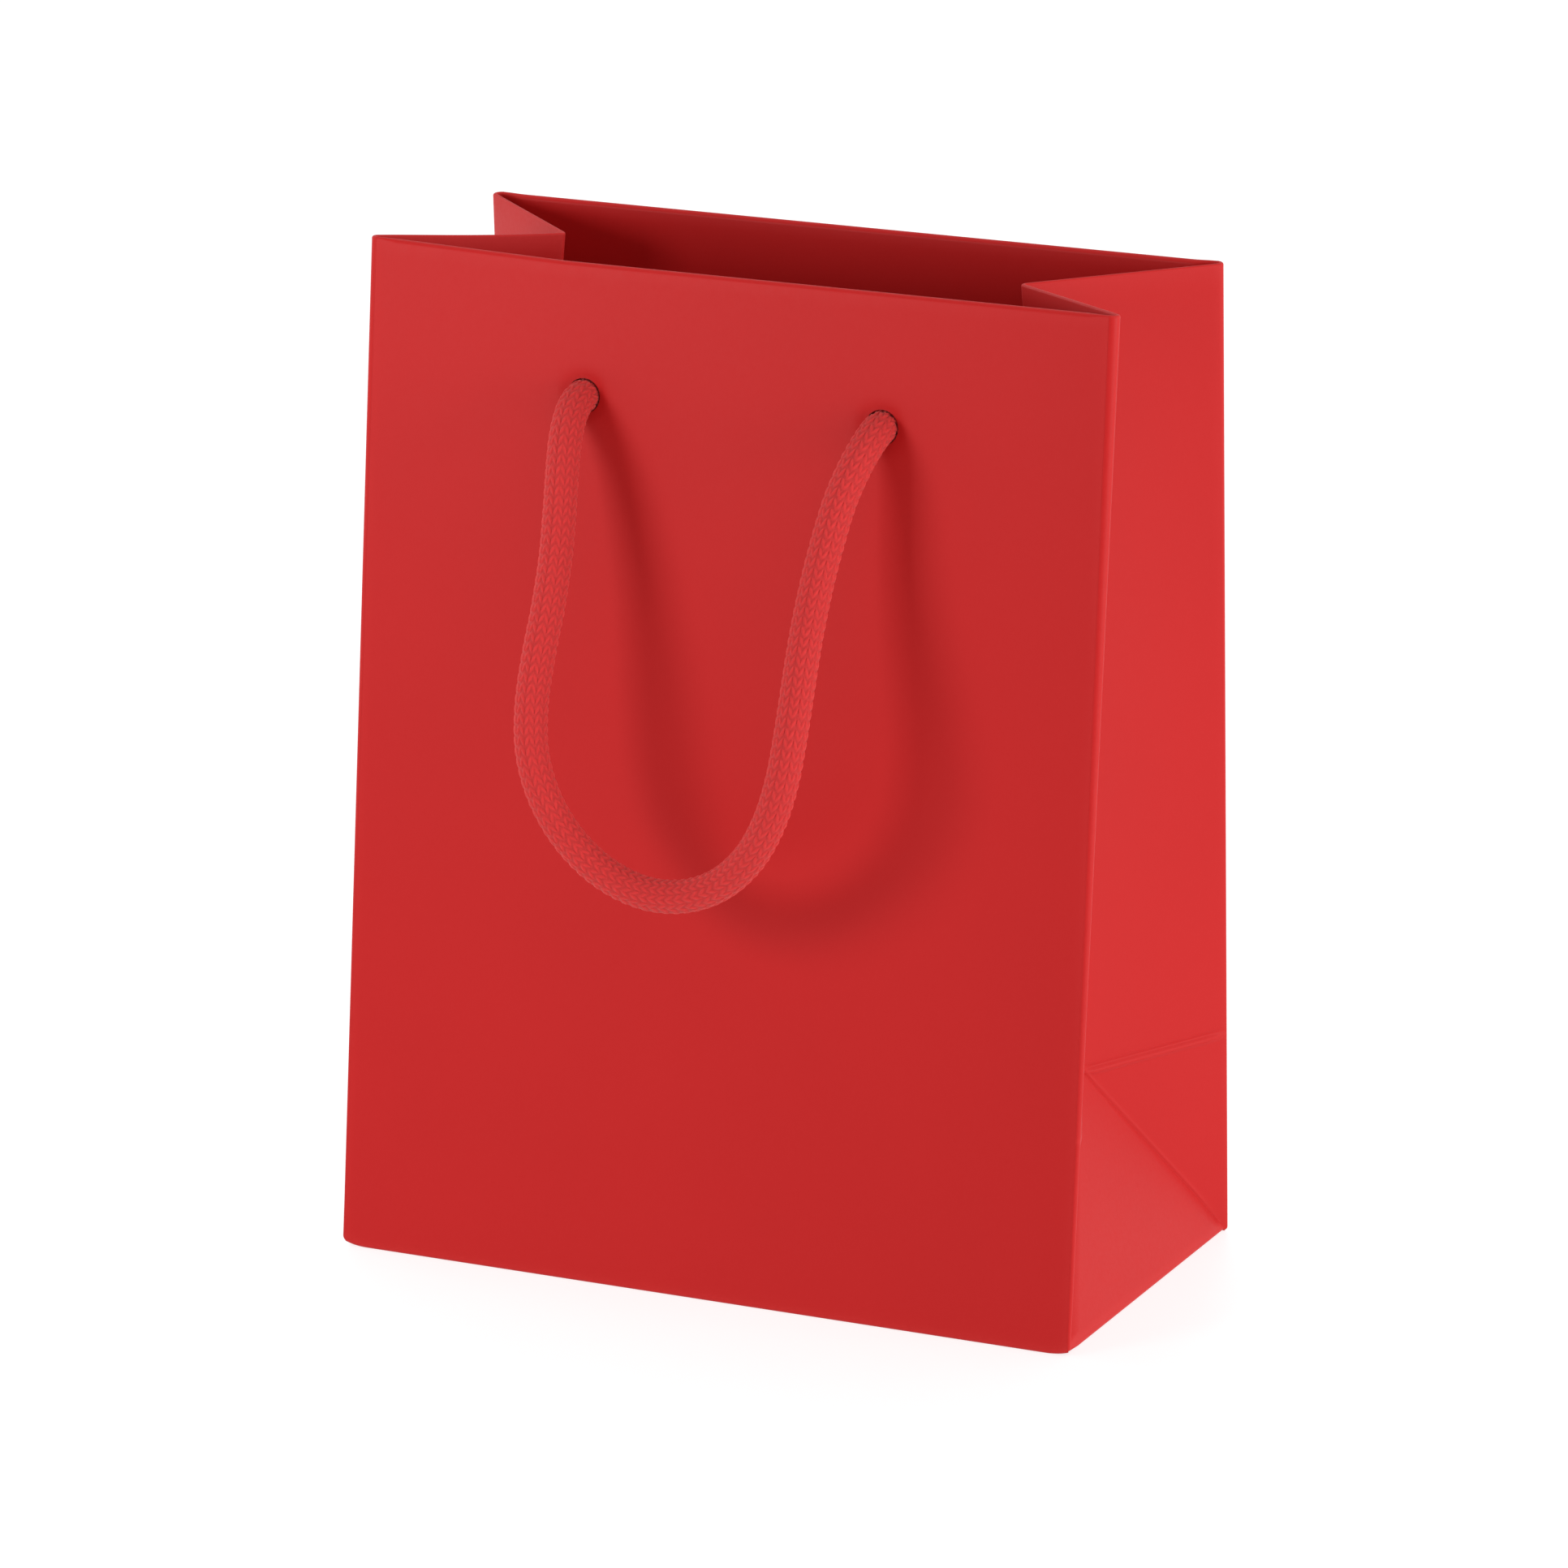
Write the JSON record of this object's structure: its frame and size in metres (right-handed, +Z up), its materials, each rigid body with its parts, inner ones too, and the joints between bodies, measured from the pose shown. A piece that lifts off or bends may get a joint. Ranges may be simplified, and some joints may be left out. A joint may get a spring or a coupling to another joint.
{
  "type": "paper gift bag",
  "caption": "Upright paper gift bag with folding side gussets, a flat satchel base, a turned-in rim and two braided rope handles.",
  "frame": {"origin": "middle of the underside, on the surface that the bag stands on", "axes": "+Z up, +X to the right as seen from the front, -Y out of the front panel"},
  "size_m": [0.18, 0.154, 0.2314],
  "materials": {
    "red_paper": "matt laminated",
    "grey_card": "plain grey board",
    "red_rope": "braided soft cord"
  },
  "bodies": {
    "base": {"base_flap_back": "red_paper", "base_flap_front": "red_paper", "base_flap_right": "red_paper", "base_flap_left": "red_paper", "base_board": "grey_card", "right_gusset_foot": "red_paper", "left_gusset_foot": "red_paper", "right_gusset_front_half": "red_paper", "right_gusset_front_foot": "red_paper", "right_gusset_front_hem": "red_paper", "left_gusset_front_half": "red_paper", "left_gusset_front_foot": "red_paper", "left_gusset_front_hem": "red_paper", "right_gusset_back_half": "red_paper", "right_gusset_back_foot": "red_paper", "right_gusset_back_hem": "red_paper", "left_gusset_back_half": "red_paper", "left_gusset_back_foot": "red_paper", "left_gusset_back_hem": "red_paper", "seam_tab": "red_paper"},
    "front_wall": {"front_panel": "red_paper", "front_rim_board": "grey_card", "front_hem": "red_paper", "front_left_knot": "red_rope", "front_right_knot": "red_rope"},
    "back_wall": {"back_panel": "red_paper", "back_rim_board": "grey_card", "back_hem": "red_paper", "back_left_knot": "red_rope", "back_right_knot": "red_rope"},
    "front_handle": {"front_rope_handle": "red_rope"},
    "back_handle": {"back_rope_handle": "red_rope"}
  },
  "joints": [
    {"name": "front_wall_fold", "type": "hinge", "parent": "base", "child": "front_wall", "pos_m": [0, -0.049, 0], "axis": [-1, 0, 0], "range_deg": [-4, 5.5], "stiffness_Nm_per_rad": 0.8, "deforming": ["right_gusset_front_half", "right_gusset_front_foot", "right_gusset_front_hem", "left_gusset_front_half", "left_gusset_front_foot", "left_gusset_front_hem"]},
    {"name": "back_wall_fold", "type": "hinge", "parent": "base", "child": "back_wall", "pos_m": [0, 0.049, 0], "axis": [1, 0, 0], "range_deg": [-4, 5.5], "stiffness_Nm_per_rad": 0.8, "deforming": ["right_gusset_back_half", "right_gusset_back_foot", "right_gusset_back_hem", "left_gusset_back_half", "left_gusset_back_foot", "left_gusset_back_hem", "seam_tab"]},
    {"name": "front_handle_swing", "type": "hinge", "parent": "front_wall", "child": "front_handle", "pos_m": [0, -0.044, 0.197], "axis": [-1, 0, 0], "range_deg": [0, 160], "deforming": ["front_rope_handle"]},
    {"name": "back_handle_swing", "type": "hinge", "parent": "back_wall", "child": "back_handle", "pos_m": [0, 0.044, 0.197], "axis": [1, 0, 0], "range_deg": [0, 160], "deforming": ["back_rope_handle"]}
  ],
  "couplings": [
    {"joint": "back_wall_fold", "follows": "front_wall_fold", "ratio": 1}
  ]
}
